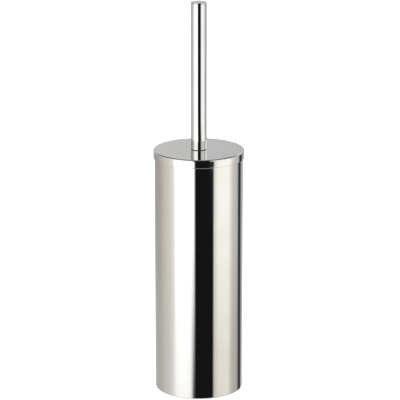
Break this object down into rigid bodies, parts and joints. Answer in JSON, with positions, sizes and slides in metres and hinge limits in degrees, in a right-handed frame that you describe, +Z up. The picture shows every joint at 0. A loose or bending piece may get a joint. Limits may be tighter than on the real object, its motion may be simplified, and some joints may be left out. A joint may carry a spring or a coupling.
{
  "type": "toilet brush holder",
  "caption": "Slim cylindrical floor-standing toilet brush holder with a lift-out liner, and a brush hanging from a flat lid under a straight tube handle.",
  "frame": {"origin": "centre of the foot ring's underside, on the floor", "axes": "+Z up along the common axis of holder, lid, handle and brush; -Y is the front, though the object is round"},
  "size_m": [0.0924, 0.0924, 0.405],
  "materials": {
    "polished_steel": "polished",
    "plain_steel": "satin",
    "black_plastic": "satin",
    "black_rubber": "matte",
    "white_plastic": "satin",
    "white_bristle": "matte"
  },
  "bodies": {
    "holder": {"holder_shell": "polished_steel", "base_plate": "plain_steel", "foot_ring": "black_rubber"},
    "liner": {"inner_liner": "black_plastic"},
    "buffer_ring": {"lid_buffer_ring": "black_rubber"},
    "brush": {"lid": "polished_steel", "lid_insert": "black_plastic", "lid_washer": "plain_steel", "lid_nut": "plain_steel", "handle_gasket": "black_rubber", "handle_tube": "polished_steel", "handle_end_cap": "polished_steel", "handle_insert": "plain_steel", "handle_stud": "plain_steel", "stem_tube": "polished_steel", "stem_top_bush": "plain_steel", "stem_bottom_bush": "plain_steel"},
    "washer": {"head_washer": "black_rubber"},
    "brush_head": {"brush_head_core": "white_plastic", "side_bristles": "white_bristle", "end_bristles": "white_bristle"}
  },
  "joints": [
    {"name": "liner_lift", "type": "slide", "parent": "holder", "child": "liner", "axis": [0, 0, 1], "range_m": [0, 0.26]},
    {"name": "brush_lift", "type": "slide", "parent": "liner", "child": "buffer_ring", "axis": [0, 0, 1], "range_m": [0, 0.26]},
    {"name": "brush_spin", "type": "hinge", "parent": "buffer_ring", "child": "brush", "pos_m": [0, 0, 0.254], "axis": [0, 0, 1], "continuous": true},
    {"name": "head_thread_advance", "type": "slide", "parent": "brush", "child": "washer", "axis": [0, 0, -1], "range_m": [0, 0.01276]},
    {"name": "head_unscrew", "type": "hinge", "parent": "washer", "child": "brush_head", "pos_m": [0, 0, 0.1217], "axis": [0, 0, -1], "range_deg": [0, 3060]}
  ],
  "couplings": [
    {"joint": "head_thread_advance", "follows": "head_unscrew", "m_per_rad": 0.00023873}
  ]
}
